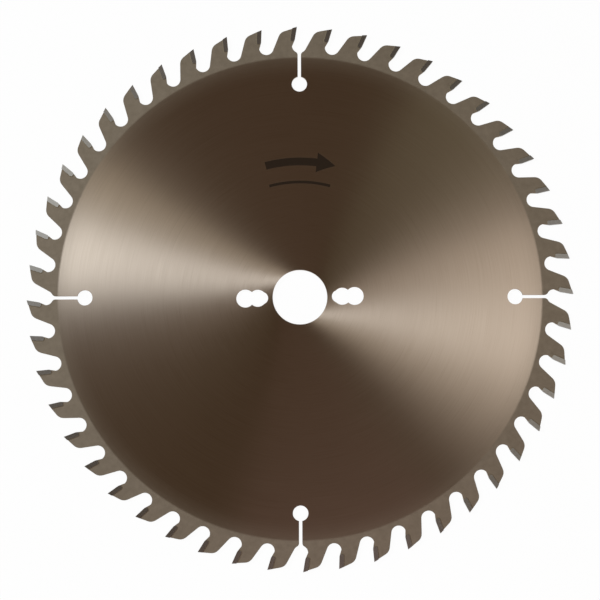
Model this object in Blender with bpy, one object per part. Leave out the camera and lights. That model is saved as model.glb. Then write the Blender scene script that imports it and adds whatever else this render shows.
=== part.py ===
"""Circular saw blade with brazed carbide tips: 300 mm across, 48 teeth, for a 30 mm shaft.

The blade lies flat. Its axis is +Z, and the origin is the centre of the bore at half the plate's thickness.
Seen from +Z it cuts clockwise. The tooth and the gullet in front of it are drawn once, at 12 o'clock, with X
to the right and Y outwards, and are then turned to each place round the rim. Lengths are in metres, angles in
radians.
"""

import math

import bmesh
import bpy
from mathutils import Matrix, Vector

# Blade
BLADE_RADIUS = 0.150  # out to the cutting edges
TOOTH_COUNT = 48
KERF = 0.0032  # width of the tips at their cutting edges
PLATE_THICKNESS = 0.0022

# Carbide tips, ground to an alternate top bevel: every second tip is highest on the other side
TIP_LENGTH = 0.0082
TIP_FACE_LENGTH = 0.007  # rake face; below it the tip and the steel draw back to the gullet in one plane
TIP_THICKNESS = 0.0024  # from the rake face to the back
TIP_SEAT_RADIUS = 0.0008  # rounding of the tip's lower back edge
HOOK_ANGLE = math.radians(10)  # the rake face leans forward of the radius by this much
TOP_CLEARANCE = math.radians(15)
TOP_BEVEL = math.radians(6)
SIDE_CLEARANCE_DOWN = math.radians(1.25)  # each side draws in towards the tip's lower end
SIDE_CLEARANCE_BACK = math.radians(2.5)  # and towards its back
BRAZE_GAP = 0.0003  # room for the braze metal between a tip and its notch

# Steel teeth
TOP_STEP = 0.00025  # the steel starts this far below the top of the tip's back
STEEL_TOP_ANGLE = math.radians(17)  # and falls away at this angle
SHOULDER_RADIUS = 0.005
BACK_ANGLE = math.radians(22)  # of the tooth's back, from the radius through its cutting edge

# Gullets
GULLET_RADIUS = 0.004
GULLET_DEPTH = 0.01445  # from the cutting circle
EDGE_SETBACK = 0.0013  # from the middle of the gullet back to the cutting edge

# Expansion slots, each from the bottom of a gullet to a round hole
SLOT_COUNT = 4
SLOT_WIDTH = 0.0018
SLOT_LENGTH = 0.0174  # from the bottom of the gullet to the centre of the end hole
SLOT_HOLE_DIAMETER = 0.0085
SLOT_MOUTH_RADIUS = 0.002

# Shaft bore, and on each side of it three drive pin holes that run into each other
BORE_DIAMETER = 0.030
PIN_WALL = 0.0025  # steel left between the bore and the inner pin hole
INNER_PIN_DIAMETER = 0.007
MIDDLE_PIN_DIAMETER = 0.0095
MIDDLE_PIN_STEP = 0.0022  # outwards, from the centre of the inner pin hole to that of the middle one
OUTER_PIN_DIAMETER = 0.010
OUTER_PIN_STEP = 0.0068  # from the centre of the middle pin hole to that of the outer one
PIN_LINE_ANGLE = math.radians(1.2)  # from the slots on the right and left, anticlockwise

# Fineness of the round parts
GULLET_STEPS = 16
SHOULDER_STEPS = 5
SEAT_STEPS = 4
MOUTH_STEPS = 5
SLOT_HOLE_STEPS = 36
PIN_HOLE_SIDES = 48
BORE_SIDES = 96
ROUNDING_ROOM = 0.9  # a rounded corner takes at most this share of the edges beside it
SHARP_ANGLE = math.radians(30)  # edges that turn more than this are shaded sharp
WELD_DISTANCE = 1e-6

PITCH = 2 * math.pi / TOOTH_COUNT
SLOTTED_GULLETS = [round(slot * TOOTH_COUNT / SLOT_COUNT) for slot in range(SLOT_COUNT)]

# The tooth at 12 o'clock: its cutting edge, and the directions that its faces follow
EDGE = Vector((-EDGE_SETBACK, math.sqrt(BLADE_RADIUS**2 - EDGE_SETBACK**2)))
OUTWARD = EDGE.normalized()
FORWARD = Vector((OUTWARD.y, -OUTWARD.x))
DOWN_RAKE = -OUTWARD * math.cos(HOOK_ANGLE) - FORWARD * math.sin(HOOK_ANGLE)
BEHIND_RAKE = OUTWARD * math.sin(HOOK_ANGLE) - FORWARD * math.cos(HOOK_ANGLE)
DOWN_TIP_TOP = -FORWARD * math.cos(TOP_CLEARANCE) - OUTWARD * math.sin(TOP_CLEARANCE)
DOWN_STEEL_TOP = -FORWARD * math.cos(STEEL_TOP_ANGLE) - OUTWARD * math.sin(STEEL_TOP_ANGLE)
UP_BACK = FORWARD * math.sin(BACK_ANGLE) + OUTWARD * math.cos(BACK_ANGLE)

# The gullet at 12 o'clock. The plane from the end of the rake face meets it in its throat, where it is
# widest, and the back of the next tooth leaves it at BACK_START.
GULLET_CENTRE = Vector((0, BLADE_RADIUS - GULLET_DEPTH + GULLET_RADIUS))
THROAT = GULLET_CENTRE - Vector((GULLET_RADIUS, 0))
FACE_END = EDGE + DOWN_RAKE * TIP_FACE_LENGTH
DOWN_THROAT = (THROAT - FACE_END).normalized()
BACK_START = 2 * math.pi - (PITCH - math.asin(EDGE_SETBACK / BLADE_RADIUS) + BACK_ANGLE)


def turned(point, angle):
    """The point turned anticlockwise round the blade's axis."""
    return Matrix.Rotation(angle, 2) @ point


def on_circle(centre, radius, angle):
    return centre + radius * Vector((math.cos(angle), math.sin(angle)))


def arc(centre, radius, start, end, steps):
    """Points from the start angle to the end angle, with both ends."""
    return [on_circle(centre, radius, start + (end - start) * step / steps) for step in range(steps + 1)]


def crossing(point, along, other_point, other_along):
    """Where two lines cross, each given by a point on it and its direction."""
    distance = (other_point - point).cross(other_along) / along.cross(other_along)
    return point + along * distance


def rounded(before, corner, after, radius, steps):
    """The arc that rounds the corner between two straight edges, as far as their lengths leave room."""
    to_before = before - corner
    to_after = after - corner
    half_angle = to_before.angle(to_after) / 2
    room = ROUNDING_ROOM * min(to_before.length, to_after.length)
    reach = min(radius / math.tan(half_angle), room)
    radius = reach * math.tan(half_angle)
    middle = (to_before.normalized() + to_after.normalized()).normalized()
    centre = corner + middle * radius / math.sin(half_angle)
    first = corner + to_before.normalized() * reach - centre
    start = math.atan2(first.y, first.x)
    turn = math.copysign(math.pi - 2 * half_angle, to_after.cross(to_before))
    return arc(centre, radius, start, start + turn, steps)


def tooth():
    """From the shoulder over the top, down the notch for the tip, to the lip under the tip."""
    tip_back = EDGE + BEHIND_RAKE * TIP_THICKNESS
    top = crossing(EDGE, DOWN_TIP_TOP, tip_back, DOWN_RAKE) - OUTWARD * TOP_STEP
    back_foot = turned(on_circle(GULLET_CENTRE, GULLET_RADIUS, BACK_START), PITCH)
    shoulder = crossing(top, DOWN_STEEL_TOP, back_foot, UP_BACK)
    seat_back = tip_back + BEHIND_RAKE * BRAZE_GAP
    seat_top = crossing(top, DOWN_STEEL_TOP, seat_back, DOWN_RAKE)
    seat_corner = seat_back + DOWN_RAKE * (TIP_LENGTH + BRAZE_GAP)
    lip = crossing(seat_corner, BEHIND_RAKE, FACE_END, DOWN_THROAT)
    outline = rounded(back_foot, shoulder, seat_top, SHOULDER_RADIUS, SHOULDER_STEPS)
    outline.append(seat_top)
    outline += rounded(seat_top, seat_corner, lip, TIP_SEAT_RADIUS + BRAZE_GAP, SEAT_STEPS)
    outline.append(lip)
    return outline


def plain_gullet():
    return arc(GULLET_CENTRE, GULLET_RADIUS, math.pi, BACK_START, GULLET_STEPS)


def mirrored(points):
    """The points on the other side of 12 o'clock, in the opposite order."""
    return [Vector((-point.x, point.y)) for point in reversed(points)]


def slotted_gullet():
    """The gullet with a slot from its bottom: a rounded mouth, two straight walls and the round end hole."""
    half_width = SLOT_WIDTH / 2
    mouth_angle = math.acos((half_width + SLOT_MOUTH_RADIUS) / (GULLET_RADIUS + SLOT_MOUTH_RADIUS))
    left_end = math.pi + mouth_angle
    right_start = 2 * math.pi - mouth_angle
    left = arc(GULLET_CENTRE, GULLET_RADIUS, math.pi, left_end, GULLET_STEPS // 2)
    right = arc(GULLET_CENTRE, GULLET_RADIUS, right_start, BACK_START, GULLET_STEPS // 2)
    mouth_centre = on_circle(GULLET_CENTRE, GULLET_RADIUS + SLOT_MOUTH_RADIUS, left_end)
    mouth = arc(mouth_centre, SLOT_MOUTH_RADIUS, mouth_angle, 0, MOUTH_STEPS)
    hole_centre = Vector((0, BLADE_RADIUS - GULLET_DEPTH - SLOT_LENGTH))
    hole_radius = SLOT_HOLE_DIAMETER / 2
    wall_angle = math.asin(half_width / hole_radius)
    hole_start = math.pi / 2 + wall_angle
    hole_end = hole_start + 2 * (math.pi - wall_angle)
    hole = arc(hole_centre, hole_radius, hole_start, hole_end, SLOT_HOLE_STEPS)
    return left[:-1] + mouth + hole + mirrored(mouth) + right[1:]


def plate_outline():
    """The whole rim, clockwise from the tooth at 12 o'clock."""
    outline = []
    for number in range(TOOTH_COUNT):
        gullet = slotted_gullet() if number in SLOTTED_GULLETS else plain_gullet()
        outline += [turned(point, -number * PITCH) for point in tooth() + gullet]
    return outline


def metal(name, colour, roughness):
    material = bpy.data.materials.new(name)
    material.use_nodes = True
    shader = material.node_tree.nodes["Principled BSDF"]
    shader.inputs["Base Color"].default_value = (*colour, 1)
    shader.inputs["Metallic"].default_value = 1
    shader.inputs["Roughness"].default_value = roughness
    return material


def shade(mesh):
    """Smooth walls with sharp corners, between flat faces at the top and bottom."""
    mesh.shade_smooth()
    for face in mesh.polygons:
        face.use_smooth = abs(face.normal.z) < math.cos(SHARP_ANGLE)
    mesh.set_sharp_from_angle(angle=SHARP_ANGLE)


def blank_plate(collection):
    """The laser cut outline at the plate's thickness, as one welded mesh."""
    curve = bpy.data.curves.new("plate_outline", "CURVE")
    curve.dimensions = "2D"
    curve.fill_mode = "BOTH"
    curve.extrude = PLATE_THICKNESS / 2
    outline = plate_outline()
    spline = curve.splines.new("POLY")
    spline.points.add(len(outline) - 1)
    for spline_point, point in zip(spline.points, outline):
        spline_point.co = (point.x, point.y, 0, 1)
    spline.use_cyclic_u = True
    drawing = bpy.data.objects.new("plate_outline", curve)
    collection.objects.link(drawing)
    graph = bpy.context.evaluated_depsgraph_get()
    mesh = bpy.data.meshes.new_from_object(drawing.evaluated_get(graph))
    mesh.name = "saw_plate"
    welded = bmesh.new()
    welded.from_mesh(mesh)
    bmesh.ops.remove_doubles(welded, verts=welded.verts, dist=WELD_DISTANCE)
    bmesh.ops.recalc_face_normals(welded, faces=welded.faces)
    welded.to_mesh(mesh)
    welded.free()
    shade(mesh)
    plate = bpy.data.objects.new("saw_plate", mesh)
    plate.matrix_world = drawing.matrix_world
    bpy.data.objects.remove(drawing)
    collection.objects.link(plate)
    return plate


def hole_cutter(name, diameter, place, sides, collection):
    """A cylinder that reaches past both faces of the plate."""
    cylinder = bmesh.new()
    bmesh.ops.create_cone(
        cylinder,
        cap_ends=True,
        segments=sides,
        radius1=diameter / 2,
        radius2=diameter / 2,
        depth=2 * PLATE_THICKNESS,
    )
    mesh = bpy.data.meshes.new(name)
    cylinder.to_mesh(mesh)
    cylinder.free()
    shade(mesh)
    cutter = bpy.data.objects.new(name, mesh)
    cutter.location = place.to_3d()
    cutter.hide_render = True
    cutter.display_type = "WIRE"
    collection.objects.link(cutter)
    return cutter


def cut(plate, cutter):
    modifier = plate.modifiers.new(cutter.name, "BOOLEAN")
    modifier.operation = "DIFFERENCE"
    modifier.solver = "EXACT"
    modifier.object = cutter


def saw_plate(collection, cutters):
    plate = blank_plate(collection)
    plate.data.materials.append(metal("tool_steel", (0.34, 0.29, 0.25), 0.32))
    cut(plate, hole_cutter("bore_cutter", BORE_DIAMETER, Vector((0, 0)), BORE_SIDES, cutters))
    inner_place = BORE_DIAMETER / 2 + PIN_WALL + INNER_PIN_DIAMETER / 2
    middle_place = inner_place + MIDDLE_PIN_STEP
    outer_place = middle_place + OUTER_PIN_STEP
    pins = {
        "inner_pin": (INNER_PIN_DIAMETER, inner_place),
        "middle_pin": (MIDDLE_PIN_DIAMETER, middle_place),
        "outer_pin": (OUTER_PIN_DIAMETER, outer_place),
    }
    for side, angle in (("right", PIN_LINE_ANGLE), ("left", PIN_LINE_ANGLE + math.pi)):
        for name, (diameter, distance) in pins.items():
            place = turned(Vector((distance, 0)), angle)
            cut(plate, hole_cutter(f"{name}_cutter_{side}", diameter, place, PIN_HOLE_SIDES, cutters))


def grind(block, point, normal):
    """Takes away what lies past the plane and closes the flat that this leaves."""
    geometry = block.verts[:] + block.edges[:] + block.faces[:]
    found = bmesh.ops.bisect_plane(
        block, geom=geometry, plane_co=point.to_3d(), plane_no=normal.to_3d(), clear_outer=True
    )
    rim = [item for item in found["geom_cut"] if isinstance(item, bmesh.types.BMEdge)]
    bmesh.ops.holes_fill(block, edges=rim)


def tip_mesh(name, high_side, material):
    """The tip at 12 o'clock, ground from a block. Its top is highest at +Z for a high_side of 1."""
    tip = bmesh.new()
    bmesh.ops.create_cube(tip, size=4 * TIP_LENGTH, matrix=Matrix.Translation(EDGE.to_3d()))
    seat_corner = EDGE + BEHIND_RAKE * TIP_THICKNESS + DOWN_RAKE * TIP_LENGTH
    grind(tip, EDGE, -BEHIND_RAKE)
    grind(tip, FACE_END, Vector((-DOWN_THROAT.y, DOWN_THROAT.x)))
    grind(tip, seat_corner, BEHIND_RAKE)
    grind(tip, seat_corner, DOWN_RAKE)
    to_front = Vector((0, 0, KERF / 2))
    up_top = Vector((DOWN_TIP_TOP.y, -DOWN_TIP_TOP.x)).to_3d()
    towards_low_side = Vector((0, 0, -high_side))
    top_normal = up_top * math.cos(TOP_BEVEL) + towards_low_side * math.sin(TOP_BEVEL)
    grind(tip, EDGE.to_3d() + to_front * high_side, top_normal)
    draw_in = BEHIND_RAKE * math.tan(SIDE_CLEARANCE_BACK) + DOWN_RAKE * math.tan(SIDE_CLEARANCE_DOWN)
    for side in (1, -1):
        grind(tip, EDGE.to_3d() + to_front * side, draw_in.to_3d() + Vector((0, 0, side)))
    seat_edge = [
        edge
        for edge in tip.edges
        if all((corner.co.to_2d() - seat_corner).length < WELD_DISTANCE for corner in edge.verts)
    ]
    bmesh.ops.bevel(
        tip, geom=seat_edge, offset=TIP_SEAT_RADIUS, segments=SEAT_STEPS, profile=0.5, affect="EDGES"
    )
    bmesh.ops.recalc_face_normals(tip, faces=tip.faces)
    mesh = bpy.data.meshes.new(name)
    tip.to_mesh(mesh)
    tip.free()
    mesh.materials.append(material)
    return mesh


def carbide_tips(collection):
    """The tips, numbered clockwise from 12 o'clock."""
    carbide = metal("tungsten_carbide", (0.10, 0.10, 0.10), 0.35)
    tip_meshes = (tip_mesh("tip_high_at_front", 1, carbide), tip_mesh("tip_high_at_back", -1, carbide))
    for number in range(TOOTH_COUNT):
        tip = bpy.data.objects.new(f"tip_{number + 1:02}", tip_meshes[number % 2])
        tip.rotation_euler.z = -number * PITCH
        collection.objects.link(tip)


def main():
    for old in list(bpy.data.objects):
        bpy.data.objects.remove(old)
    blade = bpy.data.collections.new("circular_saw_blade")
    cutters = bpy.data.collections.new("cutters")
    bpy.context.scene.collection.children.link(blade)
    bpy.context.scene.collection.children.link(cutters)
    saw_plate(blade, cutters)
    carbide_tips(blade)


main()
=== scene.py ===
"""Circular saw blade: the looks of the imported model, piece by piece, and the studio it lies in.

The blade lies flat on the floor with its axis along Z. Lengths are in metres, and MM turns millimetres into
them.
"""

import math

import bmesh
import bpy
from mathutils import Matrix, Vector


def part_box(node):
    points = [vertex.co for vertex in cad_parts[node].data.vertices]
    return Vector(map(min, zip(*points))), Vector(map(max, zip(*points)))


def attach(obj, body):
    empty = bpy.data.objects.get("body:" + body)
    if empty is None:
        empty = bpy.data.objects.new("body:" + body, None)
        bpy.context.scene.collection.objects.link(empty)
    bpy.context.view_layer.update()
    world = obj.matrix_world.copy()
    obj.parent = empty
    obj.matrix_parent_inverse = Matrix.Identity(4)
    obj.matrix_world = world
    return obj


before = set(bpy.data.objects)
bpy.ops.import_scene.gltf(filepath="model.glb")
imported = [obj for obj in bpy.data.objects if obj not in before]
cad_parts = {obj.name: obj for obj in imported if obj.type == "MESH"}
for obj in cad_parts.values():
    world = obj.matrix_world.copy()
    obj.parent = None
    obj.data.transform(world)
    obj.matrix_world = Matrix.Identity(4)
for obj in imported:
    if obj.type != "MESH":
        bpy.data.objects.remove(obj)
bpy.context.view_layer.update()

# Saw plate
# A disc of tempered tool steel, laser cut. Both faces are ground with the disc turning, which leaves fine
# rings, up to a rim band that was blasted matt after the tips were brazed on. The front has an etched arrow.

MM = 0.001
PLATE_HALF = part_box("saw_plate")[1].z
RIM_BAND_RADIUS = 132.7 * MM
RIM_BAND_BLUR = 0.7 * MM
STRAY_GRIT_WIDTH = 12.5 * MM
WALL_MARGIN = 0.005 * MM  # what lies deeper below the face than this is a wall
BORE_WALL_RADIUS = 16 * MM  # walls nearer to the axis than this are the bore's, which is honed
LEAN_RADIUS = 30 * MM
LEAN = math.radians(9.7)
LEAN_FALL = 1.7
RING_SPACING = 0.5 * MM
DEEP_LINE_WIDTH = 0.2 * MM
CLOUD_WIDTH = 40 * MM
GRAIN_WIDTH = 0.25 * MM
PATCH_WIDTH = 3 * MM
STRIPE_SPACING = 0.3 * MM
ARROW_RADIUS = 75 * MM
ARROW_SHAFT_HALF = 2.2 * MM
ARROW_HEAD_HALF = 5.5 * MM
ARROW_START = -19 * MM  # along the arrow, clockwise from the top of the blade
ARROW_HEAD_START = 9.5 * MM
ARROW_TIP = 20 * MM
RULE_RADIUS = 63.6 * MM
RULE_HALF = 0.8 * MM
ETCHED_EDGE = 0.05 * MM  # half of the width over which an etched edge fades


def linear(hex_colour):
    """An sRGB hex colour as the linear colour that a shader takes."""
    channels = [int(hex_colour[start : start + 2], 16) / 255 for start in (1, 3, 5)]
    return (*[c / 12.92 if c <= 0.04045 else ((c + 0.055) / 1.055) ** 2.4 for c in channels], 1)


def add_node(material, kind, inputs=None, **settings):
    """A new node with its settings. Each input gets a value, or a link when an output is given."""
    node = material.node_tree.nodes.new("ShaderNode" + kind)
    for name, value in settings.items():
        setattr(node, name, value)
    for socket, value in (inputs or {}).items():
        if isinstance(value, bpy.types.NodeSocket):
            material.node_tree.links.new(value, node.inputs[socket])
        else:
            node.inputs[socket].default_value = value
    return node


def new_material(name):
    material = bpy.data.materials.new(name)
    material.use_nodes = True
    material.node_tree.nodes.clear()
    return material


steel = new_material("ground_tool_steel")
place = add_node(steel, "TexCoord").outputs["Object"]
axes = add_node(steel, "SeparateXYZ", {0: place})
across = add_node(steel, "CombineXYZ", {0: axes.outputs[0], 1: axes.outputs[1]}).outputs[0]
radius = add_node(steel, "VectorMath", {0: across}, operation="LENGTH").outputs["Value"]
heading = add_node(steel, "VectorMath", {0: across}, operation="NORMALIZE").outputs[0]
depth = add_node(steel, "Math", {0: axes.outputs[2]}, operation="ABSOLUTE").outputs[0]

# The rings of the grinding wheel. Real ones are about 0.05 mm apart, and are drawn about 0.5 mm apart so that
# they show. Each fades out over an arc of some 30 mm, because the noise also changes with the heading.
arc_place = add_node(steel, "VectorMath", {0: heading, 1: (3, 3, 3)}, operation="MULTIPLY").outputs[0]
arc_axes = add_node(steel, "SeparateXYZ", {0: arc_place})
ring_number = add_node(steel, "Math", {0: radius, 1: 1 / RING_SPACING}, operation="MULTIPLY").outputs[0]
ring_place = add_node(
    steel, "CombineXYZ", {0: arc_axes.outputs[0], 1: arc_axes.outputs[1], 2: ring_number}
).outputs[0]
rings = add_node(steel, "TexNoise", {"Vector": ring_place, "Scale": 1, "Detail": 2}).outputs[0]

# Single coarse grains of the wheel have cut deeper lines here and there, drawn 0.2 mm wide and darker.
line_number = add_node(steel, "Math", {0: radius, 1: 1 / DEEP_LINE_WIDTH}, operation="MULTIPLY").outputs[0]
line_place = add_node(
    steel, "CombineXYZ", {0: arc_axes.outputs[0], 1: arc_axes.outputs[1], 2: line_number}
).outputs[0]
deep_lines = add_node(steel, "TexNoise", {"Vector": line_place, "Scale": 1, "Detail": 1}).outputs[0]
deep_lines = add_node(
    steel, "MapRange", {"Value": deep_lines, "From Min": 0.58, "From Max": 0.7, "To Max": 0.24}
).outputs[0]

# Handling and storage leave faint clouds on the steel, 20 to 60 mm across.
clouds = add_node(steel, "TexNoise", {"Vector": place, "Scale": 1 / CLOUD_WIDTH, "Detail": 3}).outputs[0]

ring_colour = add_node(
    steel, "Mix", {"Factor": rings, "A": linear("#938476"), "B": linear("#A7988A")}, data_type="RGBA"
).outputs["Result"]
clouded_colour = add_node(
    steel, "Mix", {"Factor": clouds, "A": ring_colour, "B": linear("#9A8B7E")}, data_type="RGBA"
).outputs["Result"]
ground_colour = add_node(
    steel, "Mix", {"Factor": deep_lines, "A": clouded_colour, "B": linear("#7E6F62")}, data_type="RGBA"
).outputs["Result"]
ground_roughness = add_node(steel, "MapRange", {"Value": rings, "To Min": 0.28, "To Max": 0.32}).outputs[0]
ring_bump = add_node(
    steel, "Bump", {"Height": rings, "Strength": 0.05, "Distance": 0.02 * MM}
).outputs[0]

# The grinding marks run round the blade, but near the bore the wheel's feed turns them inwards, so the fans
# of light bend there. LEAN is how far, at LEAN_RADIUS. The shine spreads across the marks.
lean = add_node(steel, "Math", {0: LEAN_RADIUS, 1: radius}, operation="DIVIDE").outputs[0]
lean = add_node(steel, "Math", {0: lean, 1: LEAN_FALL}, operation="POWER").outputs[0]
lean = add_node(steel, "Math", {0: lean, 1: math.tan(LEAN)}, operation="MULTIPLY").outputs[0]
round_bore = add_node(steel, "VectorMath", {0: (0, 0, 1), 1: heading}, operation="CROSS_PRODUCT").outputs[0]
across_marks = add_node(steel, "VectorMath", {0: round_bore, "Scale": lean}, operation="SCALE").outputs[0]
across_marks = add_node(steel, "VectorMath", {0: across_marks, 1: heading}, operation="ADD").outputs[0]
across_marks = add_node(
    steel,
    "VectorTransform",
    {0: across_marks},
    vector_type="VECTOR",
    convert_from="OBJECT",
    convert_to="WORLD",
).outputs[0]
ground = add_node(
    steel,
    "BsdfPrincipled",
    {
        "Base Color": ground_colour,
        "Metallic": 1,
        "Roughness": ground_roughness,
        "Anisotropic": 0.9,
        "Tangent": across_marks,
        "Normal": ring_bump,
    },
).outputs[0]

# Zones without rings: the rim band, the walls of every cut, and the etched arrow.
band = add_node(
    steel,
    "MapRange",
    {
        "Value": radius,
        "From Min": RIM_BAND_RADIUS - RIM_BAND_BLUR,
        "From Max": RIM_BAND_RADIUS + RIM_BAND_BLUR,
    },
).outputs[0]
wall = add_node(steel, "Math", {0: depth, 1: PLATE_HALF - WALL_MARGIN}, operation="LESS_THAN").outputs[0]

# The arrow shows which way the blade turns. Its shaft is a band of one width, its head narrows to a point,
# and a plain rule runs below them. Each shape is a half width round its own circle that changes along it.
turn = add_node(steel, "Math", {0: axes.outputs[0], 1: axes.outputs[1]}, operation="ARCTAN2").outputs[0]
along = add_node(steel, "Math", {0: turn, 1: ARROW_RADIUS}, operation="MULTIPLY").outputs[0]
on_shaft = add_node(steel, "Math", {0: along, 1: ARROW_START}, operation="GREATER_THAN").outputs[0]
shaft_half = add_node(steel, "Math", {0: on_shaft, 1: ARROW_SHAFT_HALF}, operation="MULTIPLY").outputs[0]
head_half = add_node(
    steel,
    "MapRange",
    {
        "Value": along,
        "From Min": ARROW_HEAD_START,
        "From Max": ARROW_TIP,
        "To Min": ARROW_HEAD_HALF,
        "To Max": 0,
    },
).outputs[0]
in_head = add_node(steel, "Math", {0: along, 1: ARROW_HEAD_START}, operation="GREATER_THAN").outputs[0]
arrow_half = add_node(
    steel, "Mix", {"Factor": in_head, "A": shaft_half, "B": head_half}, data_type="FLOAT"
).outputs["Result"]
from_arrow = add_node(steel, "Math", {0: radius, 1: ARROW_RADIUS}, operation="SUBTRACT").outputs[0]
from_arrow = add_node(steel, "Math", {0: from_arrow}, operation="ABSOLUTE").outputs[0]
within_arrow = add_node(steel, "Math", {0: arrow_half, 1: from_arrow}, operation="SUBTRACT").outputs[0]

from_rule = add_node(steel, "Math", {0: radius, 1: RULE_RADIUS}, operation="SUBTRACT").outputs[0]
from_rule = add_node(steel, "Math", {0: from_rule}, operation="ABSOLUTE").outputs[0]
within_rule = add_node(steel, "Math", {0: RULE_HALF, 1: from_rule}, operation="SUBTRACT").outputs[0]
past_middle = add_node(steel, "Math", {0: along}, operation="ABSOLUTE").outputs[0]
within_ends = add_node(steel, "Math", {0: ARROW_TIP, 1: past_middle}, operation="SUBTRACT").outputs[0]
within_rule = add_node(steel, "Math", {0: within_rule, 1: within_ends}, operation="MINIMUM").outputs[0]

within_mark = add_node(steel, "Math", {0: within_arrow, 1: within_rule}, operation="MAXIMUM").outputs[0]
etched = add_node(
    steel, "MapRange", {"Value": within_mark, "From Min": -ETCHED_EDGE, "From Max": ETCHED_EDGE}
).outputs[0]
on_front = add_node(steel, "Math", {0: axes.outputs[2], 1: 0}, operation="GREATER_THAN").outputs[0]
etched = add_node(steel, "Math", {0: etched, 1: on_front}, operation="MULTIPLY").outputs[0]

# Grit has left pits of about 0.1 mm on the band, drawn 0.25 mm across, over faint patches a few millimetres
# wide.
grain = add_node(
    steel, "TexNoise", {"Vector": place, "Scale": 1 / GRAIN_WIDTH, "Detail": 3, "Roughness": 0.6}
).outputs[0]
patches = add_node(steel, "TexNoise", {"Vector": place, "Scale": 1 / PATCH_WIDTH, "Detail": 3}).outputs[0]

# Stray grit has dulled the ground face beside the band too, less and less inwards, until it covers nothing.
stray = add_node(
    steel,
    "MapRange",
    {"Value": radius, "From Min": RIM_BAND_RADIUS - STRAY_GRIT_WIDTH, "From Max": RIM_BAND_RADIUS},
).outputs[0]
stray = add_node(steel, "Math", {0: stray, 1: 2}, operation="POWER").outputs[0]
stray = add_node(steel, "Math", {0: stray, 1: grain}, operation="MULTIPLY").outputs[0]
stray = add_node(steel, "Math", {0: stray, 1: 0.6}, operation="MULTIPLY").outputs[0]

# The laser leaves upright stripes on the walls it cuts, about 0.3 mm apart. The bore is honed to size after
# that, with lines of about 0.1 mm that run round it.
in_bore = add_node(steel, "Math", {0: radius, 1: BORE_WALL_RADIUS}, operation="LESS_THAN").outputs[0]
laser_place = add_node(steel, "VectorMath", {0: place, 1: (1, 1, 0.05)}, operation="MULTIPLY").outputs[0]
hone_place = add_node(steel, "CombineXYZ", {2: axes.outputs[2]}).outputs[0]
hone_place = add_node(steel, "VectorMath", {0: hone_place, 1: (1, 1, 3)}, operation="MULTIPLY").outputs[0]
wall_place = add_node(
    steel, "Mix", {"Factor": in_bore, "A": laser_place, "B": hone_place}, data_type="VECTOR"
).outputs["Result"]
stripes = add_node(
    steel, "TexNoise", {"Vector": wall_place, "Scale": 1 / STRIPE_SPACING, "Detail": 1}
).outputs[0]

pitted = add_node(
    steel, "Mix", {"Factor": 0.5, "A": patches, "B": grain}, data_type="FLOAT"
).outputs["Result"]
band_colour = add_node(
    steel, "Mix", {"Factor": pitted, "A": linear("#766A5B"), "B": linear("#A09383")}, data_type="RGBA"
).outputs["Result"]
laser_colour = add_node(
    steel,
    "Mix",
    {"Factor": stripes, "A": linear("#80705F"), "B": linear("#A8967F")},
    data_type="RGBA",
).outputs["Result"]
wall_colour = add_node(
    steel, "Mix", {"Factor": in_bore, "A": laser_colour, "B": linear("#A89B8C")}, data_type="RGBA"
).outputs["Result"]
etched_colour = add_node(
    steel,
    "Mix",
    {"Factor": grain, "A": linear("#3A2E25"), "B": linear("#4A3D32")},
    data_type="RGBA",
).outputs["Result"]
face_colour = add_node(
    steel, "Mix", {"Factor": etched, "A": band_colour, "B": etched_colour}, data_type="RGBA"
).outputs["Result"]
matt_colour = add_node(
    steel, "Mix", {"Factor": wall, "A": face_colour, "B": wall_colour}, data_type="RGBA"
).outputs["Result"]
matt_height = add_node(
    steel, "Mix", {"Factor": wall, "A": grain, "B": stripes}, data_type="FLOAT"
).outputs["Result"]
bump_strength = add_node(
    steel, "Mix", {"Factor": in_bore, "A": 0.35, "B": 0.1}, data_type="FLOAT"
).outputs["Result"]
matt_bump = add_node(
    steel, "Bump", {"Height": matt_height, "Strength": bump_strength, "Distance": 0.05 * MM}
).outputs[0]
matt_roughness = add_node(
    steel, "Mix", {"Factor": in_bore, "A": 0.7, "B": 0.3}, data_type="FLOAT"
).outputs["Result"]
matt_roughness = add_node(
    steel, "Mix", {"Factor": etched, "A": matt_roughness, "B": 0.85}, data_type="FLOAT"
).outputs["Result"]
matt = add_node(
    steel,
    "BsdfPrincipled",
    {"Base Color": matt_colour, "Metallic": 1, "Roughness": matt_roughness, "Normal": matt_bump},
).outputs[0]
without_rings = add_node(steel, "Math", {0: band, 1: wall}, operation="MAXIMUM").outputs[0]
without_rings = add_node(steel, "Math", {0: without_rings, 1: etched}, operation="MAXIMUM").outputs[0]
without_rings = add_node(steel, "Math", {0: without_rings, 1: stray}, operation="MAXIMUM").outputs[0]
surface = add_node(steel, "MixShader", {0: without_rings, 1: ground, 2: matt}).outputs[0]
add_node(steel, "OutputMaterial", {"Surface": surface})

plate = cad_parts["saw_plate"]
plate.data.materials.clear()
plate.data.materials.append(steel)

# Carbide tips
# Sintered tungsten carbide, a dark grey metal, brazed into the notches and then ground on every side with a
# fine diamond wheel, which leaves flat, satin faces and sharp edges.

TIP_LINE_SPACING = 0.15 * MM
MOTTLE_WIDTH = 1.5 * MM

carbide = new_material("ground_tungsten_carbide")
place = add_node(carbide, "TexCoord").outputs["Object"]
axes = add_node(carbide, "SeparateXYZ", {0: place})
across = add_node(carbide, "CombineXYZ", {0: axes.outputs[0], 1: axes.outputs[1]}).outputs[0]
radius = add_node(carbide, "VectorMath", {0: across}, operation="LENGTH").outputs["Value"]

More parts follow.
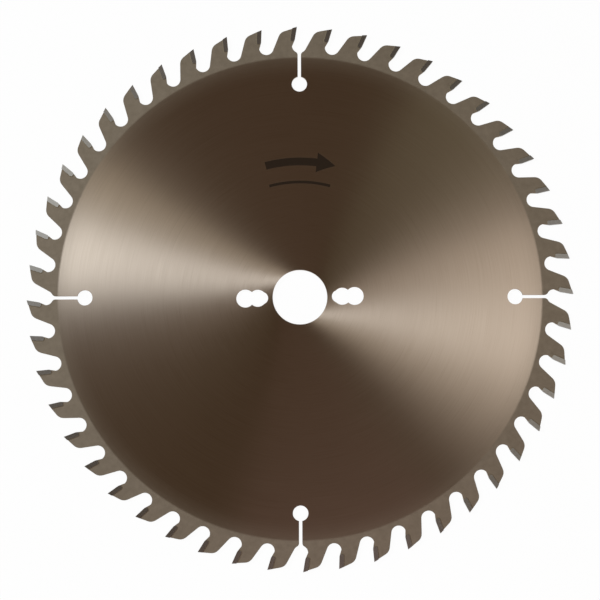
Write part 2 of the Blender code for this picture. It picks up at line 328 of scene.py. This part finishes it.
# The wheel crosses a tip in lines about 0.02 mm apart, drawn 0.15 mm apart so that they show.
line_number = add_node(
    carbide, "Math", {0: radius, 1: 1 / TIP_LINE_SPACING}, operation="MULTIPLY"
).outputs[0]
line_place = add_node(carbide, "CombineXYZ", {2: line_number}).outputs[0]
lines = add_node(carbide, "TexNoise", {"Vector": line_place, "Scale": 1, "Detail": 1}).outputs[0]
mottle = add_node(carbide, "TexNoise", {"Vector": place, "Scale": 1 / MOTTLE_WIDTH, "Detail": 3}).outputs[0]
carbide_tone = add_node(
    carbide, "Mix", {"Factor": 0.5, "A": mottle, "B": lines}, data_type="FLOAT"
).outputs["Result"]
carbide_colour = add_node(
    carbide, "Mix", {"Factor": carbide_tone, "A": linear("#746E68"), "B": linear("#938D87")}, data_type="RGBA"
).outputs["Result"]
carbide_bump = add_node(
    carbide, "Bump", {"Height": lines, "Strength": 0.15, "Distance": 0.02 * MM}
).outputs[0]
heading = add_node(carbide, "VectorMath", {0: across}, operation="NORMALIZE").outputs[0]
outwards = add_node(
    carbide, "VectorTransform", {0: heading}, vector_type="VECTOR", convert_from="OBJECT", convert_to="WORLD"
).outputs[0]
carbide_shader = add_node(
    carbide,
    "BsdfPrincipled",
    {
        "Base Color": carbide_colour,
        "Metallic": 1,
        "Roughness": 0.48,
        "Anisotropic": 0.7,
        "Tangent": outwards,
        "Normal": carbide_bump,
    },
).outputs[0]
add_node(carbide, "OutputMaterial", {"Surface": carbide_shader})

tips = [node for name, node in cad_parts.items() if name.startswith("tip_")]
for tip in tips:
    tip.data.materials.clear()
    tip.data.materials.append(carbide)

# Braze joints
# Silver solder that was melted between each tip and its notch. It fills the gap behind and below the tip, and
# leaves a small fillet on both faces of the plate, where the tip stands proud. Blasting has left it dull.

EDGE = Vector((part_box("tip_01")[1].x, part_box("tip_01")[1].y, 0))
HOOK = math.radians(10)
THROAT_LEAN = math.radians(14)  # below the rake face, tip and tooth draw back by this much
TOOTH_TOP_FALL = math.radians(27)  # of the steel behind the tip, from the square of the rake face
TOOTH_TOP_START = 1.42 * MM  # down the tip's back, from the cutting edge
RAKE_LENGTH = 7 * MM
TIP_THICKNESS = 2.4 * MM
TIP_LENGTH = 8.2 * MM
SEAT_RADIUS = 0.8 * MM
THROAT_RECESS = 0.05 * MM
RIPPLE_WIDTH = 0.5 * MM
ORDER = Vector((1, 3.7, 9.1))  # elements are sorted along this; it's skew to all of the joint's planes
TOOTH_COUNT = len(tips)
# Half of the joint's section in millimetres: how far behind the tip's back, and how high above the middle of
# the plate. The fillet runs down from the tip to the plate. Its foot turns back into the gap, which it fills.
SECTION_HALF = [
    (-0.03, 1.27),
    (0, 1.26),
    (0.06, 1.19),
    (0.16, 1.145),
    (0.33, 1.115),
    (0.6, 1.095),
    (0.31, 1.08),
]

joints = bmesh.new()
upper = [joints.verts.new((TIP_THICKNESS + behind * MM, 0, height * MM)) for behind, height in SECTION_HALF]
lower = [joints.verts.new((TIP_THICKNESS + behind * MM, 0, -height * MM)) for behind, height in SECTION_HALF]
loop = upper + lower[::-1]
section = [joints.edges.new((start, end)) for start, end in zip(loop, loop[1:] + loop[:1])]


def put_in_order():
    """Sorts the mesh by place. Extruding leaves it in another order on each run, and then the ends differ."""
    joints.verts.sort(key=lambda vert: vert.co.dot(ORDER))
    joints.edges.sort(key=lambda edge: (edge.verts[0].co + edge.verts[1].co).dot(ORDER))
    joints.faces.sort(key=lambda face: face.calc_center_median().dot(ORDER))


def drawn_on(edges, shift):
    """Extrudes the loop of edges by the shift, and gives the loop at the new end."""
    new = bmesh.ops.extrude_edge_only(joints, edges=edges)["geom"]
    corners = [item for item in new if isinstance(item, bmesh.types.BMVert)]
    bmesh.ops.translate(joints, verts=corners, vec=shift)
    moved = set(corners)
    return [item for item in new if isinstance(item, bmesh.types.BMEdge) and moved.issuperset(item.verts)]


# Each joint is drawn with X behind the rake face and Y down it: down the back of the tip, round its lower
# corner and along its foot.
back_end = drawn_on(section, Vector((0, TIP_LENGTH - SEAT_RADIUS, 0)))
corner = bmesh.ops.spin(
    joints,
    geom=back_end,
    cent=(TIP_THICKNESS - SEAT_RADIUS, TIP_LENGTH - SEAT_RADIUS, 0),
    axis=(0, 0, 1),
    angle=math.pi / 2,
    steps=4,
)
corner_end = [item for item in corner["geom_last"] if isinstance(item, bmesh.types.BMEdge)]
drawn_on(corner_end, Vector((-TIP_THICKNESS, 0, 0)))
put_in_order()
throat_out = Vector((-math.cos(THROAT_LEAN), math.sin(THROAT_LEAN), 0))
top_out = Vector((math.sin(TOOTH_TOP_FALL), -math.cos(TOOTH_TOP_FALL), 0))
for point, out in (
    (Vector((0, RAKE_LENGTH, 0)) - throat_out * THROAT_RECESS, throat_out),
    (Vector((TIP_THICKNESS, TOOTH_TOP_START, 0)), top_out),
):
    bmesh.ops.bisect_plane(
        joints,
        geom=joints.verts[:] + joints.edges[:] + joints.faces[:],
        plane_co=point,
        plane_no=out,
        clear_outer=True,
    )
    put_in_order()
bmesh.ops.holes_fill(joints, edges=[edge for edge in joints.edges if edge.is_boundary])
put_in_order()
to_tooth = Matrix.Rotation(math.atan2(EDGE.y, EDGE.x) + math.pi / 2 - HOOK, 4, "Z")
bmesh.ops.transform(joints, matrix=Matrix.Translation(EDGE) @ to_tooth, verts=joints.verts)
bmesh.ops.spin(
    joints,
    geom=joints.verts[:] + joints.edges[:] + joints.faces[:],
    cent=(0, 0, 0),
    axis=(0, 0, 1),
    angle=2 * math.pi * (TOOTH_COUNT - 1) / TOOTH_COUNT,
    steps=TOOTH_COUNT - 1,
    use_duplicate=True,
)
bmesh.ops.recalc_face_normals(joints, faces=joints.faces)
joint_data = bpy.data.meshes.new("braze_joints")
joints.to_mesh(joint_data)
joints.free()
joint_data.shade_smooth()
joint_data.set_sharp_from_angle(angle=math.radians(40))

solder = new_material("blasted_silver_solder")
place = add_node(solder, "TexCoord").outputs["Object"]
ripples = add_node(solder, "TexNoise", {"Vector": place, "Scale": 1 / RIPPLE_WIDTH, "Detail": 3}).outputs[0]
solder_colour = add_node(
    solder,
    "Mix",
    {"Factor": ripples, "A": linear("#766A5B"), "B": linear("#938672")},
    data_type="RGBA",
).outputs["Result"]
solder_bump = add_node(
    solder, "Bump", {"Height": ripples, "Strength": 0.3, "Distance": 0.05 * MM}
).outputs[0]
solder_shader = add_node(
    solder,
    "BsdfPrincipled",
    {"Base Color": solder_colour, "Metallic": 1, "Roughness": 0.7, "Normal": solder_bump},
).outputs[0]
add_node(solder, "OutputMaterial", {"Surface": solder_shader})

braze_joints = bpy.data.objects.new("braze_joints", joint_data)
bpy.context.scene.collection.objects.link(braze_joints)
joint_data.materials.append(solder)
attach(braze_joints, "root")

# Floor
# A round sheet of matt white studio card that stands up at its edge, so that a low view ends on white too.
# The camera and reflections see it as white, with a faint shadow under the blade.

FLOOR_Z = -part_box("tip_01")[1].z
FLOOR_RADIUS = 6
EDGE_HEIGHT = 1.2
WHITE_SHARE = 0.97
floor_mesh = bmesh.new()
bmesh.ops.create_circle(
    floor_mesh, cap_ends=True, segments=96, radius=FLOOR_RADIUS, matrix=Matrix.Translation((0, 0, FLOOR_Z))
)
floor_edge = [edge for edge in floor_mesh.edges if edge.is_boundary]
raised = bmesh.ops.extrude_edge_only(floor_mesh, edges=floor_edge)["geom"]
raised_corners = [item for item in raised if isinstance(item, bmesh.types.BMVert)]
bmesh.ops.translate(floor_mesh, verts=raised_corners, vec=(0, 0, EDGE_HEIGHT))
floor_data = bpy.data.meshes.new("floor")
floor_mesh.to_mesh(floor_data)
floor_mesh.free()
floor = bpy.data.objects.new("floor", floor_data)
bpy.context.scene.collection.objects.link(floor)

card = new_material("white_card")
ray = add_node(card, "LightPath").outputs
seen = add_node(card, "Math", {0: ray["Is Camera Ray"], 1: ray["Is Glossy Ray"]}, operation="ADD").outputs[0]
seen = add_node(card, "Math", {0: seen, 1: ray["Is Transmission Ray"]}, operation="ADD").outputs[0]
share = add_node(card, "Math", {0: seen, 1: WHITE_SHARE}, operation="MULTIPLY").outputs[0]
paper = add_node(card, "BsdfDiffuse", {"Color": linear("#F4F4F4")}).outputs[0]
white = add_node(card, "Emission", {"Color": (1, 1, 1, 1), "Strength": 1}).outputs[0]
card_surface = add_node(card, "MixShader", {0: share, 1: paper, 2: white}).outputs[0]
add_node(card, "OutputMaterial", {"Surface": card_surface})
floor_data.materials.append(card)

# Studio light
# A far softbox on the left, a weaker one behind it and a near one on the right draw the light fans on the
# ground face. Small near ones lift the upper right and the lower edge, and the room is dim and warm.


def softbox(name, azimuth, tilt, distance, width, height, watts, colour):
    """An area lamp that faces the middle of the blade. Tilt is its angle from straight above."""
    lamp = bpy.data.lights.new(name, "AREA")
    lamp.shape = "RECTANGLE"
    lamp.size = width
    lamp.size_y = height
    lamp.energy = watts
    lamp.color = colour
    holder = bpy.data.objects.new(name, lamp)
    holder.visible_camera = False
    azimuth = math.radians(azimuth)
    tilt = math.radians(tilt)
    direction = Vector(
        (math.sin(tilt) * math.cos(azimuth), math.sin(tilt) * math.sin(azimuth), math.cos(tilt))
    )
    holder.location = direction * distance
    holder.rotation_euler = direction.to_track_quat("Z", "Y").to_euler()
    bpy.context.scene.collection.objects.link(holder)


softbox("left_softbox", 164.5, 42, 1.5, 0.3, 0.5, 12.1, (0.88, 1, 1.085))
softbox("back_softbox", 147.5, 42, 1.5, 0.24, 0.5, 2.23, (1, 1, 0.86))
softbox("right_softbox", 4.3, 30.3, 0.47, 0.19, 0.3, 0.328, (1.01, 1, 0.95))
softbox("corner_softbox", 48.1, 30.7, 0.39, 0.12, 0.12, 0.018, (0.89, 1, 0.78))
softbox("front_softbox", 279.9, 60, 0.35, 0.3, 0.12, 0.124, (1.35, 1, 1.05))

world = bpy.data.worlds.new("studio")
bpy.context.scene.world = world
world.use_nodes = True
room = world.node_tree.nodes["Background"]
room.inputs["Color"].default_value = (1.45, 1, 0.63, 1)
room.inputs["Strength"].default_value = 0.0916

# Camera
# Almost straight above the blade, a little towards its lower edge, with a long lens.

CAMERA_PLACE = Vector((0, -0.083, 1.157))
CAMERA_TARGET = Vector((0, -0.0015, 0))
CAMERA_ROLL = math.radians(-0.17)
camera_data = bpy.data.cameras.new("camera")
camera_data.lens = 126.7
camera_data.sensor_width = 36
camera = bpy.data.objects.new("camera", camera_data)
view = CAMERA_TARGET - CAMERA_PLACE
camera.matrix_world = (
    Matrix.Translation(CAMERA_PLACE)
    @ view.to_track_quat("-Z", "Y").to_matrix().to_4x4()
    @ Matrix.Rotation(CAMERA_ROLL, 4, "Z")
)
bpy.context.scene.collection.objects.link(camera)
bpy.context.scene.camera = camera
bpy.context.scene.view_settings.view_transform = "Standard"
